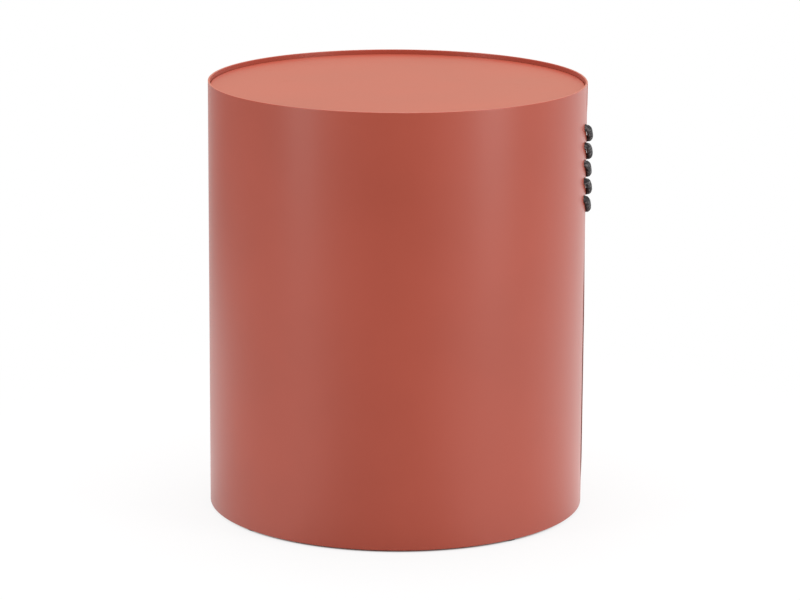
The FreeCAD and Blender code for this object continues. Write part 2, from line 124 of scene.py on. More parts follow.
class LacingSizes(bpy.types.PropertyGroup):
    """The cord and its holes."""
    stitches: count("Stitches", "Stitches over the seam", 5, 1)
    pitch: length("Pitch", "Height from one stitch to the next", 0.019)
    drop: length("Drop", "How much lower a stitch goes in than it came out", 0.0165)
    span: length("Span", "Distance across the seam between the two rows of holes", 0.028)
    top: length("Top", "Depth of the first hole under the rim", 0.044)
    hole: length("Hole", "Diameter of a lacing hole", 0.0086)
    cord: length("Cord", "Diameter of the braided cord", 0.007)
    lift: length("Lift", "How far a stitch lies off the sheet", 0.0002)
    lead: length("Lead", "Cord between the end holes and the knots", 0.008)
    tail: length("Tail", "Cord left past a knot", 0.012)
    carriers: count("Carriers", "Yarns that run each way round the cord", 8, 3)
    lay: length("Lay", "Length of one turn of a yarn round the cord", 0.020)


class FastenerSizes(bpy.types.PropertyGroup):
    """Studs, nuts, washers, glides and their screws."""
    circle: length("Hole circle", "Radius of the circle that the fasteners stand on", 0.1862)
    stud: length("Stud", "Diameter of the studs under the plate", 0.005)
    stud_pitch: length("Stud pitch", "Pitch of the studs' thread", 0.0008)
    washer: length("Washer", "Diameter of a washer", 0.010)
    nut: length("Nut", "Width of a nut over its flats", 0.008)
    screw: length("Screw", "Diameter of the glides' screws", 0.006)
    screw_pitch: length("Screw pitch", "Pitch of the screws' thread", 0.001)
    weld_nut: length("Weld nut", "Width of a weld nut over its flats", 0.010)
    ring_sheet: length("Ring thickness", "Thickness of the rolled angle's legs", 0.003)
    ring_root: length("Ring root", "Radius in the angle's inner corner", 0.002)


class TableColours(bpy.types.PropertyGroup):
    """The finishes."""
    coat: colour("Powder coat", "Terracotta of the sheet, the plate and the rings", (0.385, 0.067, 0.038))
    coat_roughness: share("Coat roughness", "Satin of the powder coat", 0.34)
    zinc: colour("Zinc", "Plating of the fasteners", (0.60, 0.61, 0.63))
    plastic: colour("Glides", "Moulded plastic of the glides", (0.030, 0.030, 0.032))
    cord: colour("Cord", "Charcoal of the braid", (0.020, 0.019, 0.021))
    fleck: colour("Fleck", "The braid's lighter yarns", (0.260, 0.245, 0.245))


class StudioLight(bpy.types.PropertyGroup):
    """Camera, lamps and background."""
    camera_turn: quantity(
        "Camera turn", "Camera's place round the table, from -Y towards +X", math.radians(6.4),
        subtype="ANGLE")
    world: quantity("Surroundings", "Light that the white room gives", 0.56)
    right_lamp: quantity("Right lamp", "Power of the right softbox", 21.0, unit="POWER")
    left_lamp: quantity("Left lamp", "Power of the left softbox", 13.6, unit="POWER")
    top_lamp: quantity("Top lamp", "Power of the lamp overhead", 37.5, unit="POWER")
    shadow: share("Floor shadow", "How much of the floor's shading the camera sees", 0.16)
    inside: share("Inside light", "Soft light that the drum's inside gets from below", 0.90)


# Arrays and meshes

def polar(radius, angle, height, centre=(0.0, 0.0)):
    """Points round an upright axis: centre + (radius cos angle, radius sin angle, height)."""
    x, y = centre[0] + radius * np.cos(angle), centre[1] + radius * np.sin(angle)
    return np.stack(np.broadcast_arrays(x, y, height), -1)


def even_turn(points):
    """The angles of that many even steps round a circle."""
    return 2 * math.pi * np.arange(points) / points


def arc(radius, height, size, start, stop, steps=4):
    """A round corner of a profile: (radius + size cos u, height + size sin u), with u in degrees."""
    turn = np.radians(np.linspace(start, stop, steps + 1))
    return radius + size * np.cos(turn), height + size * np.sin(turn)


def profile(*parts):
    """Radii and heights of a whole profile, from those of its parts one after the other."""
    return [np.concatenate(values) for values in zip(*(np.broadcast_arrays(*part) for part in parts))]


def grid_quads(index, close_rows=False, close_columns=False):
    """The quads of a grid of vertex numbers; a closed direction joins its last line to its first."""
    if close_rows:
        index = np.vstack([index, index[:1]])
    if close_columns:
        index = np.hstack([index, index[:, :1]])
    corners = [index[:-1, :-1], index[1:, :-1], index[1:, 1:], index[:-1, 1:]]
    return np.stack(corners, -1).reshape(-1, 4)


def enclosed_volume(points, faces):
    """Sum of the cones from the origin to each face, positive when the faces point outwards."""
    corners = [points[faces[:, k]] for k in range(faces.shape[1])]
    return sum(
        np.einsum("ij,ij->i", corners[0], np.cross(second, third)).sum() / 6
        for second, third in zip(corners[1:], corners[2:]))


class Surface:
    """Points, faces and point values of one piece, put together from grids."""

    def __init__(self):
        self.points = []
        self.quads = []
        self.triangles = [np.zeros((0, 3), int)]
        self.values = {}
        self.count = 0

    def add_points(self, points, **values):
        """Adds an array of points of any grid shape, and returns their numbers in that shape."""
        shape = points.shape[:-1]
        self.points.append(points.reshape(-1, 3))
        for name, value in values.items():
            self.values.setdefault(name, []).append((self.count, np.broadcast_to(value, shape).reshape(-1)))
        first = self.count
        self.count += len(self.points[-1])
        return np.arange(first, self.count).reshape(shape)

    def add_tube(self, rings, ends, **values):
        """Adds a row of rings as one closed tube; triangles to one point close each of its ends."""
        body = self.add_points(rings, **values)
        self.quads.append(grid_quads(body, close_columns=True))
        for ring, end in ((body[0], ends[0]), (body[-1][::-1], ends[1])):
            pole = self.add_points(end[None])[0]
            self.triangles.append(np.stack([ring, np.roll(ring, -1), np.full(len(ring), pole)], -1))

    def add_turned(self, radii, heights, turns, centre=(0.0, 0.0)):
        """Adds a turned solid, whose profile starts and ends near its axis."""
        rings = polar(radii[:, None], even_turn(turns), heights[:, None], centre)
        self.add_tube(rings, rings[[0, -1]].mean(1))

    def add_loop(self, grid):
        """Adds a grid that closes on itself both ways."""
        self.quads.append(grid_quads(self.add_points(grid), close_rows=True, close_columns=True))

    def piece(self, name, material, slot, nodes, crease=None):
        """The finished object: points in use only, faces outwards, smooth but for sharp edges. A face
        that is turned over keeps its first corner, and so the diagonal that halves it."""
        points = np.vstack(self.points)
        faces = [np.vstack(self.quads), np.vstack(self.triangles)]
        used = np.zeros(len(points), bool)
        for part in faces:
            used[part] = True
        points = points[used]
        faces = [(np.cumsum(used) - 1)[part] for part in faces]
        if sum(enclosed_volume(points, part) for part in faces) < 0:
            faces = [np.roll(part[:, ::-1], 1, axis=1) for part in faces]
        mesh = bpy.data.meshes.new(name)
        mesh.from_pydata(points.tolist(), [], faces[0].tolist() + faces[1].tolist())
        mesh.polygons.foreach_set("use_smooth", np.ones(len(mesh.polygons), bool))
        for value_name, parts in self.values.items():
            everywhere = np.zeros(len(used), np.float32)
            for first, part in parts:
                everywhere[first:first + len(part)] = part
            attribute = mesh.attributes.new(value_name, "FLOAT", "POINT")
            attribute.data.foreach_set("value", everywhere[used])
        if crease is not None:
            mesh.set_sharp_from_angle(angle=crease)
        mesh.update()
        mesh.materials.append(finish(material))
        made = bpy.data.objects.new(name, mesh)
        bpy.context.scene.collection.objects.link(made)
        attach(made, BODY)
        if nodes:
            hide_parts(*nodes)
        return made


# Sheet with holes, for the drum and the rings

# A hole's block: its cells a side, the share of them that is cut out, and the steps round an edge
HOLE_CELLS = 12
HOLE_SHARE = 2 / 3
EDGE_STEPS = 4


def square_to_circle(p, q):
    """The ring and the direction of a point of the square -1..1: equal steps along a square's side
    become equal steps of angle."""
    sideways = np.abs(q) <= np.abs(p)
    slope = np.where(sideways, q, -p) / np.where(sideways, np.where(p == 0, 1, p), q)
    side = np.where(sideways, 0, math.pi / 2) + np.where(np.where(sideways, p, q) < 0, math.pi, 0)
    return np.maximum(np.abs(p), np.abs(q)), math.pi / 4 * slope + side


def round_rectangle(rows, columns):
    """Row and column numbers in one turn round a rectangle of that many cells."""
    up, over = np.arange(rows), np.arange(columns)
    return (np.concatenate([up, np.full(columns, rows), rows - up, np.zeros(columns, int)]),
            np.concatenate([np.zeros(rows, int), over, np.full(rows, columns), columns - over]))


def edge_profile(thickness, rounding):
    """Inset and depth of the points from one face to the other round a cut edge, ends left out."""
    turn = np.linspace(0, math.pi / 2, EDGE_STEPS + 1)
    inset = rounding * (1 - np.sin(turn))
    depth = rounding * (1 - np.cos(turn))
    return (np.concatenate([inset[1:], inset[:0:-1]]),
            np.concatenate([depth[1:], thickness - depth[:0:-1]]))


def make_room(along, across, rise, kept, holes, rounding):
    """Bends a sheet's grid round its holes and drops the cells in them, in place. Returns the line
    of grid points round each hole, with the direction from them to the hole's middle."""
    half = HOLE_CELLS // 2
    reach = round(HOLE_CELLS * HOLE_SHARE)
    margin = (HOLE_CELLS - reach) // 2
    step = (np.arange(HOLE_CELLS + 1) - half) / half
    ring, direction = square_to_circle(*np.meshgrid(step, step, indexing="ij"))
    beyond = np.clip((ring - HOLE_SHARE) / (1 - HOLE_SHARE), 0, 1) ** 3
    rows, columns = round_rectangle(reach, reach)
    lines = []
    for row, column, middle_along, middle_across, radius in holes:
        block = (slice(row, row + HOLE_CELLS + 1), slice(column, column + HOLE_CELLS + 1))
        circle = radius + rounding
        rim_along = middle_along + circle * np.cos(direction)
        rim_across = middle_across + rise * circle * np.sin(direction)
        along[block] = (1 - beyond) * rim_along + beyond * along[block]
        across[block] = (1 - beyond) * rim_across + beyond * across[block]
        row, column = row + margin, column + margin
        kept[row:row + reach, column:column + reach] = False
        line = (rows + row, columns + column)
        lines.append((line, (middle_along - along[line]) / circle, (middle_across - across[line]) / circle))
    return lines


def pierced_sheet(along, across, holes, thickness, rounding, place, closed=False):
    """A sheet with round holes.

    along and across are arrays of the developed sheet's coordinates at each grid point. A hole is
    (first row, first column, middle along, middle across, radius) and owns a square block of
    cells. The inner two thirds are cut out, and the rings of cells round them go over from the
    circle to the square. place(along, across, depth) puts a developed point into space. The
    rounded profile of a cut edge joins the two faces, and the value edge is 1 there."""
    surface = Surface()
    along, across = along.copy(), across.copy()
    rows, columns = along.shape
    rise = np.sign(across[0, -1] - across[0, 0])
    kept = np.ones((rows if closed else rows - 1, columns - 1), bool)
    lines = make_room(along, across, rise, kept, holes, rounding)
    outer = surface.add_points(place(along, across, 0.0), edge=0.0)
    inner = surface.add_points(place(along, across, thickness), edge=0.0)
    surface.quads.append(grid_quads(outer, close_rows=closed)[kept.reshape(-1)])
    surface.quads.append(grid_quads(inner, close_rows=closed)[kept.reshape(-1)][:, ::-1])
    inset, depth = edge_profile(thickness, rounding)

    def cut_edge(line, push_along, push_across):
        """The quads round a closed line of grid points, which move outwards by the rounding."""
        out = rounding - inset[:, None]
        edge = place(along[line] + out * push_along, across[line] + out * push_across, depth[:, None])
        strip = np.vstack([outer[line], surface.add_points(edge, edge=1.0), inner[line]])
        return grid_quads(strip, close_columns=True)

    for line, push_along, push_across in lines:
        surface.quads.append(cut_edge(line, push_along, push_across)[:, ::-1])
    side = np.arange(rows)
    sides = [(side, 0 * side), (side[::-1], 0 * side + columns - 1)]
    for line in sides if closed else [round_rectangle(rows - 1, columns - 1)]:
        # Outwards is -1 on the grid's first line and 1 on its last
        push_along, push_across = (
            (place_on == last) * 1.0 - (place_on == 0)
            for place_on, last in zip(line, (rows - 1, columns - 1)))
        surface.quads.append(cut_edge(line, 0 if closed else push_along, rise * push_across))
    return surface


# Shader maths

class Number:
    """A number socket of a node tree that plain Python operators add Math nodes to."""

    def __init__(self, shader, socket):
        self.shader = shader
        self.socket = socket

    def math(self, operation, *values, clamp=False):
        """The Math node of that operation on the given values."""
        settings = {"operation": operation, "use_clamp": clamp}
        made = self.shader.node("Math", settings, dict(enumerate(values)))
        return Number(self.shader, made.outputs[0])

    def __add__(self, other):
        return self.math("ADD", self, other)

    def __sub__(self, other):
        return self.math("SUBTRACT", self, other)

    def __rsub__(self, other):
        return self.math("SUBTRACT", other, self)

    def __mul__(self, other):
        return self.math("MULTIPLY", self, other)

    def __truediv__(self, other):
        return self.math("DIVIDE", self, other)

    __radd__ = __add__
    __rmul__ = __mul__

    def clipped(self):
        """Held between 0 and 1."""
        return self.math("ADD", self, 0.0, clamp=True)

    def larger(self, other):
        """The larger of two numbers."""
        return self.math("MAXIMUM", self, other)

    def between(self, low, high):
        """0 at low, 1 at high, eased in between and held outside."""
        made = self.shader.node(
            "MapRange", {"interpolation_type": "SMOOTHSTEP"},
            {"Value": self, "From Min": low, "From Max": high, "To Min": 0.0, "To Max": 1.0})
        return Number(self.shader, made.outputs["Result"])


class Shader:
    """A node tree, emptied, and the one method that adds nodes to it."""

    def __init__(self, owner):
        owner.use_nodes = True
        self.tree = owner.node_tree
        self.tree.nodes.clear()

    def node(self, kind, settings=None, inputs=None):
        """A shader node: its settings first, then the value or link of each input by name or number."""
        made = self.tree.nodes.new("ShaderNode" + kind)
        for name, value in (settings or {}).items():
            if name == "stops":
                self.set_stops(made.color_ramp, value)
            else:
                setattr(made, name, value)
        for name, value in (inputs or {}).items():
            value = getattr(value, "socket", value)
            if isinstance(value, bpy.types.NodeSocket):
                self.tree.links.new(value, made.inputs[name])
            else:
                made.inputs[name].default_value = value
        return made

    def set_stops(self, ramp, stops):
        """Puts a ramp's stops in place, as (position, colour)."""
        while len(ramp.elements) < len(stops):
            ramp.elements.new(1.0)
        for element, (position, rgb) in zip(ramp.elements, stops):
            element.position = position
            element.color = rgb

    def number(self, kind, settings, inputs, output=0):
        """An output of a new node, to calculate with."""
        return Number(self, self.node(kind, settings, inputs).outputs[output])

    def noise(self, where, scale, detail=2.0, roughness=0.5):
        """A noise pattern of that many cells a metre, about 0 to 1."""
        return self.number("TexNoise", {"noise_dimensions": "3D"}, {
            "Vector": where, "Scale": scale, "Detail": detail, "Roughness": roughness}, "Fac")

    def attribute(self, name):
        """A value that the mesh carries."""
        return self.number("Attribute", {"attribute_name": name}, None, "Fac")

    def axes(self, where):
        """X, Y and Z of a place."""
        parts = self.node("SeparateXYZ", None, {"Vector": where})
        return [Number(self, part) for part in parts.outputs]

    def towards(self, where, direction):
        """How far a place lies in a direction."""
        return self.number("VectorMath", {"operation": "DOT_PRODUCT"}, {0: where, 1: direction}, "Value")

    def mix(self, factor, first, second):
        """A colour between two colours."""
        return self.node("Mix", {"data_type": "RGBA"}, {0: factor, 6: first, 7: second}).outputs[2]

    def bump(self, height, strength, distance, below=None):
        """A normal from a height pattern, in metres of distance at height 1."""
        inputs = {"Height": height, "Strength": strength, "Distance": distance}
        if below is not None:
            inputs["Normal"] = below
        return self.node("Bump", None, inputs).outputs["Normal"]

    def surface(self, **inputs):
        """The material's Principled shader and its output."""
        named = {name.replace("_", " "): value for name, value in inputs.items()}
        principled = self.node("BsdfPrincipled", None, named)
        self.node("OutputMaterial", None, {"Surface": principled.outputs["BSDF"]})


def scaled(rgb, factor=1.0):
    """A colour made lighter or darker, with its alpha."""
    return (*(min(1.0, part * factor) for part in rgb), 1.0)


# Where the cut ends of the drum's sheet are darkened as painted shade in the seam's gap, as places
# over which it comes or goes: out from the axis, to either side of the seam's middle, and up
SEAM_SHADE_OUT = (0.1976, 0.1979)
SEAM_SHADE_ASIDE = (0.0006, 0.0009)
SEAM_SHADE_UP = (0.30, 0.36)

# Height over which the floor rubs a glide
RUBBED = (0.0, 0.0016)

ZINC_CAST = (0.66, 0.64, 0.58, 1.0)


def powder_coat(shader, where, colours):
    """Satin terracotta powder coat: fine orange peel, faint clouds, glossier on cut edges and painted
    lighter there, partly as coat worn thin and partly as a painted highlight, and darkened as painted
    shade on the two cut ends that face each other over the open seam."""
    clouds = shader.noise(where, 7.0, 3.0)
    grains = shader.noise(where, 2600.0, 1.0)
    peel = shader.noise(where, 620.0, 2.0, 0.45)
    scuffs = shader.noise(where, 38.0, 5.0, 0.7).between(0.60, 0.74)
    edge = shader.attribute("edge").clipped()
    base = shader.mix(clouds.between(0.3, 0.7), scaled(colours.coat, 0.965), scaled(colours.coat, 1.03))
    base = shader.mix(grains.between(0.60, 0.78) * 0.10, base, scaled(colours.coat, 1.7))
    # Cut edges painted lighter: partly the coat worn thin, partly a painted highlight along the rims
    base = shader.mix(edge * (0.22 + 0.25 * scuffs), base, scaled(colours.coat, 1.45))
    x, y, z = shader.axes(where)
    beside_seam = 1 - y.math("ABSOLUTE", y).between(*SEAM_SHADE_ASIDE)
    seam_shade = x.between(*SEAM_SHADE_OUT) * beside_seam * (1 - z.between(*SEAM_SHADE_UP))
    # Painted shade in the seam's gap: the facing cut ends darkened to a fifth of the coat
    base = shader.mix(seam_shade * 0.9, base, scaled(colours.coat, 0.2))
    roughness = colours.coat_roughness + (clouds - 0.5) * 0.06 + scuffs * 0.03 - edge * 0.05
    relief = shader.bump(grains, 0.25, 0.000006, shader.bump(peel, 0.35, 0.00002))
    shader.surface(Base_Color=base, Roughness=roughness, Normal=relief, IOR=1.5)


def zinc_plate(shader, where, colours):
    """Bright zinc plating with its fine crystals and a faint yellow and blue cast."""
    clouds = shader.noise(where, 160.0, 4.0, 0.6)
    crystals = shader.noise(where, 3200.0, 2.0)
    base = shader.mix(clouds.between(0.35, 0.65), scaled(colours.zinc, 0.88), ZINC_CAST)
    relief = shader.bump(crystals, 0.3, 0.00001)
    shader.surface(Base_Color=base, Metallic=1.0, Roughness=0.30 + clouds * 0.14, Normal=relief)


def moulded_plastic(shader, where, colours):
    """Matt moulded plastic with a spark-eroded grain, rubbed paler where it meets the floor."""
    grain = shader.noise(where, 1500.0, 2.0, 0.6)
    low_down = 1 - shader.axes(where)[2].between(*RUBBED)
    rub = low_down * shader.noise(where, 400.0, 4.0, 0.7).between(0.35, 0.65)
    base = shader.mix(rub * 0.5, scaled(colours.plastic), scaled(colours.plastic, 4.0))
    roughness = 0.52 + grain * 0.12 + rub * 0.15
    shader.surface(Base_Color=base, Roughness=roughness, Normal=shader.bump(grain, 0.4, 0.00003))


def braid_finish(shader, where, colours):
    """Charcoal polyester braid: each yarn has its tone, fibres run along it, gaps get painted shade."""
    tone, height, fibre = (shader.attribute(name) for name in ("yarn_tone", "yarn_height", "fibre"))
    fuzz = shader.noise(where, 1800.0, 3.0, 0.7)
    strands = shader.number("TexNoise", {"noise_dimensions": "1D"}, {
        "W": fibre * 7.0, "Scale": 1.0, "Detail": 1.0}, "Fac")
    bright = tone * 0.9 + (strands - 0.5) * 0.35 + (fuzz - 0.5) * 0.4
    base = shader.mix(bright.clipped(), scaled(colours.cord), scaled(colours.fleck))
    # Painted shade: the low places between the yarns darkened towards a quarter of the cord's colour
    base = shader.mix((1 - height).between(0.25, 0.85) * 0.9, base, scaled(colours.cord, 0.25))
    relief = shader.bump(fuzz, 0.4, 0.00008, shader.bump(strands, 0.5, 0.00012))
    roughness = 0.8 + (fuzz - 0.5) * 0.2
    shader.surface(Base_Color=base, Roughness=roughness, Normal=relief, Specular_IOR_Level=0.25)


FINISHES = {
    "terracotta_coat": powder_coat,
    "bright_zinc": zinc_plate,
    "black_plastic": moulded_plastic,
    "charcoal_braid": braid_finish,
}


def finish(name):
    """The material of that name, made once. Its own function gets the shader, the place on the
    piece and the colours."""
    material = bpy.data.materials.get(name)
    if not material:
        material = bpy.data.materials.new(name)
        shader = Shader(material)
        where = shader.node("TexCoord").outputs["Object"]
        FINISHES[name](shader, where, bpy.context.scene.table_colours)
    return material


# The drum

# Spaces between the drum's grid lines above, below and behind the blocks of the holes
UPPER_LINES = 7
LOWER_LINES = 26
BACK_LINES = 240

# Where the drum's far end springs out: by the rim, as a share of what it does under the lacing,
# and the heights over which it comes and goes
RIM_SHARE = 0.6
RIM_RISE = 0.018
WAIST_RISE = 0.11
FOOT_HEIGHT = 0.020
FOOT_RISE = 0.035

# The plate: its rounded edge, and its rings as shares of its radius
PLATE_ROUNDING = 0.6 * MILLIMETRE
PLATE_RING_SHARES = np.linspace(0.15, 0.995, 8)
PLATE_TURNS = 360


def hole_heights(lacing, row):
    """Heights of a row's holes from the top; row 0 is the near one, row 1 the far one."""
    first = TABLE_HIGH.z - lacing.top - row * lacing.drop
    return first - lacing.pitch * np.arange(lacing.stitches)


def drum_heights(lacing, row, high, low, edge):
    """Heights of the drum's grid lines on one row of holes: the holes' blocks, lines above and below
    them, and one line close to each edge that keeps the sheet's face straight."""
    holes = hole_heights(lacing, row)
    block_top = holes[0] + lacing.pitch / 2
    block_low = holes[-1] - lacing.pitch / 2
    above = np.linspace(high - edge, block_top, UPPER_LINES + 1)
    blocks = np.linspace(block_top, block_low, HOLE_CELLS * lacing.stitches + 1)
    below = np.linspace(block_low, low + edge, LOWER_LINES + 1)
    return np.concatenate([[high], above, blocks[1:], below[1:], [low]])


def eased(value):
    """3v^2 - 2v^3 for a value v from 0 to 1, held outside."""
    value = np.clip(value, 0, 1)
    return value * value * (3 - 2 * value)


def rolled(drum, lacing, girth):
    """The function that puts a point of the developed sheet on the drum.

    The sheet runs round clockwise from its near end: a length a along it is the angle a over the
    drum's radius. Its far end stands proud by the rim and under the lacing, where nothing draws it
    in: smooth steps over the length and the height are multiplied."""
    lacing_top = hole_heights(lacing, 0)[0] + lacing.hole
    lacing_low = hole_heights(lacing, 1)[-1] - lacing.hole

    def place(a, b, depth):
        """The radius is the drum's, less the depth, and more where the sheet stands proud."""
        spring = eased(1 - (girth - a) / drum.proud_reach)
        by_rim = RIM_SHARE * eased((b - lacing_top) / RIM_RISE)
        by_waist = eased((lacing_low - b) / WAIST_RISE) * eased((b - FOOT_HEIGHT) / FOOT_RISE)
        radius = drum.radius - depth + drum.proud * spring * (by_rim + by_waist)
        return polar(radius, -(a + drum.seam_gap / 2) / drum.radius, b)

    return place


class DRUM_OT_sheet(bpy.types.Operator):
    """Roll the drum from one sheet, with its ten lacing holes and its open seam"""
    bl_idname = "drum_table.sheet"
    bl_label = "Roll the sheet"

    def execute(self, context):
        """The grid's lines stand close in the blocks of the holes, at both ends of the sheet. From
        end to end its heights go over from those of one row of holes to those of the other."""
        drum, lacing = context.scene.drum_sizes, context.scene.lacing_sizes
        low, high = (corner.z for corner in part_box("drum_wall"))
        rounding = drum.rounding
        girth = 2 * math.pi * drum.radius - drum.seam_gap
        hole_offset = drum.radius * math.asin(lacing.span / 2 / (drum.radius - drum.thickness / 2))
        hole_along = hole_offset - drum.seam_gap / 2
        near = np.linspace(rounding, 2 * hole_along - rounding, HOLE_CELLS + 1)
        back = np.linspace(near[-1], girth - near[-1], BACK_LINES + 1)
        lines = np.concatenate([near, back[1:-1], girth - near[::-1]])
        far_share = np.clip((lines - near[-1]) / (girth - 2 * near[-1]), 0, 1)[:, None]
        near_heights, far_heights = (
            drum_heights(lacing, row, high - rounding, low + rounding, rounding * 2) for row in (0, 1))
        across = (1 - far_share) * near_heights + far_share * far_heights
        along = np.broadcast_to(lines[:, None], across.shape)
        rows = ((0, hole_along), (len(lines) - 1 - HOLE_CELLS, girth - hole_along))
        holes = [
            (first_line, UPPER_LINES + 1 + number * HOLE_CELLS, place_along, height, lacing.hole / 2)
            for row, (first_line, place_along) in enumerate(rows)
            for number, height in enumerate(hole_heights(lacing, row))]
        place = rolled(drum, lacing, girth)
        surface = pierced_sheet(along, across, holes, drum.thickness, rounding, place)
        surface.piece("drum_sheet", "terracotta_coat", "coated_sheet", ["drum_wall"])
        return {"FINISHED"}


class DRUM_OT_plate(bpy.types.Operator):
    """Lay the round plate under the rim"""
    bl_idname = "drum_table.plate"
    bl_label = "Lay the plate"

    def execute(self, context):
        """A turned profile: out along the underside, round both edges, and back along the top."""
        low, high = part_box("top_plate")
        edge = high.x - PLATE_ROUNDING
        rings = PLATE_RING_SHARES * edge
        under = arc(edge, low.z + PLATE_ROUNDING, PLATE_ROUNDING, -90, 0)
        over = arc(edge, high.z - PLATE_ROUNDING, PLATE_ROUNDING, 0, 90)
        surface = Surface()
        surface.add_turned(*profile((rings, low.z), under, over, (rings[::-1], high.z)), PLATE_TURNS)
        surface.piece("table_plate", "terracotta_coat", "coated_plate", ["top_plate"])
        return {"FINISHED"}


# The lacing

# How far each stitch stands out, as a share of the bend's radius, the steps between two holes, and
# the power that flattens the arch
STITCH_FULLNESS = (1.00, 1.00, 0.86, 0.99, 0.85)
SAMPLES_PER_RUN = 60
ARCH_POWER = 3.4

# The overhand knot, with lengths in diameters of the cord: its points, the rounds of tightening,
# its length before and after, how close two stretches lie, and how open it starts
KNOT_POINTS = 90
KNOT_ROUNDS = 700
KNOT_START = 26
KNOT_END = 10.2
KNOT_CONTACT = 0.92
KNOT_OPEN = 2.2

# One round of the tightening: its pace, which stretches count as neighbours, and how strongly
# stretches push, bends ease, points keep their distance and the ends return to the axis
TIGHTENING = 1.25
NEIGHBOURS = 0.6 * math.pi
PUSH = 1 / 8
EASING = 0.12
SPACING_ROUNDS = 5
SPACING = 0.45
CENTRING = 0.85

# How the two knots are turned about the cord, and how their tails lean
UPPER_TURN = math.radians(20)
LOWER_TURN = math.radians(200)
TAIL_LEAN = (0.0012, -0.0016)

# The cord's grid, its braid, and the share by which the sheet presses it flat
CORD_STEP = 0.45 * MILLIMETRE
CORD_SIDES = 56
YARN_BULGE = 0.50 * MILLIMETRE
YARN_LIFT = 0.24 * MILLIMETRE
YARN_ROUNDNESS = 0.92
FLATTEN = 0.10

# Tones of the braid: how much of one comes from its yarn, the spots that single crossings take in
# turn, and the steps of the fibres' pattern from yarn to yarn
YARN_SHARE = 0.45
SPOTS = 977
SPOT_STEPS = (31, 57)
FIBRE_STEPS = (0.37, 0.61)
FIBRE_START = 5.3


def hole_plane(drum, lacing):
    """X of the middle of the sheet at its holes."""
    return math.sqrt((drum.radius - drum.thickness / 2) ** 2 - (lacing.span / 2) ** 2)


def lacing_holes(lacing):
    """Y and Z of the holes in the order in which the cord passes them."""
    heights = np.stack([hole_heights(lacing, row) for row in (0, 1)], 1).reshape(-1)
    sides = np.tile([-lacing.span / 2, lacing.span / 2], lacing.stitches)
    return np.stack([sides, heights], 1)


def distances(points):
    """Distances between neighbours along a line."""
    return np.linalg.norm(np.diff(points, axis=0), axis=1)


def travelled(points):
    """Length of a line up to each of its points."""
    return np.concatenate([[0], np.cumsum(distances(points))])


def even_steps(points, step):
    """The same line with points at equal distances along it."""
    lengths = travelled(points)
    stations = np.linspace(0, lengths[-1], max(2, int(round(lengths[-1] / step))) + 1)
    return np.stack([np.interp(stations, lengths, points[:, k]) for k in range(3)], 1)


def softened(points, width):
    """The line with each point averaged with its neighbours, weighted by a bell of that many points."""
    reach = np.arange(-2 * width, 2 * width + 1)
    weights = np.exp(-0.5 * (reach / width) ** 2)
    weights /= weights.sum()
    first = 2 * points[0] - points[1:2 * width + 1][::-1]
    last = 2 * points[-1] - points[-2 * width - 1:-1][::-1]
    longer = np.vstack([first, points, last])
    return np.stack([np.convolve(longer[:, k], weights, "valid") for k in range(3)], 1)


def lacing_line(drum, lacing):
    """The cord's line from the first hole to the last.

    Each run goes from hole to hole. With w from -1 to 1 along it, its distance from the middle of
    the sheet is (1 - |w|^n)^(1/n) of the bend radius: square to the sheet in the holes and flat
    between them, outside and inside by turns."""
    holes = lacing_holes(lacing)
    middle = hole_plane(drum, lacing)
    bend = drum.radius + lacing.lift + lacing.cord / 2 - middle
    w = -np.cos(np.linspace(0, math.pi, SAMPLES_PER_RUN + 1))[None, :, None]
    starts, ends = holes[:-1, None, :], holes[1:, None, :]
    flat = starts + (ends - starts) * (w + 1) / 2
    bends = np.full(len(holes) - 1, -1.0)
    bends[::2] = STITCH_FULLNESS
    arch = (1 - np.abs(w[..., 0]) ** ARCH_POWER).clip(0) ** (1 / ARCH_POWER)
    x = middle + bends[:, None] * bend * arch
    runs = np.concatenate([x[..., None], flat], -1)
    return np.concatenate([runs[:, :-1].reshape(-1, 3), runs[-1, -1:]])


def overhand_knot(diameter):
    """The line of an overhand knot pulled tight along X.

    It starts as the open trefoil x = t^5/5 - 2t, y = t^3 - 3t, z = t^4 - 4t^2 + 2.5. Round by round
    the cord in it gets shorter: stretches that lie closer than the cord's thickness push each other
    apart, bends even out, neighbours keep their distance and both ends stay on the axis."""
    t = np.linspace(-KNOT_OPEN, KNOT_OPEN, KNOT_POINTS)
    line = np.stack([t ** 5 / 5 - 2 * t, t ** 3 - 3 * t, t ** 4 - 4 * t ** 2 + 2.5], 1)
    line *= KNOT_START * diameter / distances(line).sum()
    number = np.arange(KNOT_POINTS)
    apart = np.abs(number[:, None] - number)
    contact = KNOT_CONTACT * diameter
    for turn in range(KNOT_ROUNDS):
        tightened = min(1.0, TIGHTENING * turn / KNOT_ROUNDS)
        step = (KNOT_START + (KNOT_END - KNOT_START) * tightened) * diameter / (KNOT_POINTS - 1)
        between = line[:, None] - line[None]
        distance = np.linalg.norm(between, axis=2) + np.eye(KNOT_POINTS)
        touching = (apart > NEIGHBOURS * diameter / step) & (distance < contact)
        push = np.where(touching, (contact - distance) / distance * PUSH, 0)
        line = line + (push[..., None] * between).sum(1)
        line[1:-1] += EASING * ((line[:-2] + line[2:]) / 2 - line[1:-1])
        for repeat in range(SPACING_ROUNDS):
            gap = np.diff(line, axis=0)
            pull = SPACING * gap * (1 - step / np.linalg.norm(gap, axis=1, keepdims=True))
            line[:-1] += pull
            line[1:] -= pull
        line[:3, 1:] *= CENTRING
        line[-3:, 1:] *= CENTRING
        line[[0, -1], 1:] = 0
    return line - line[0]


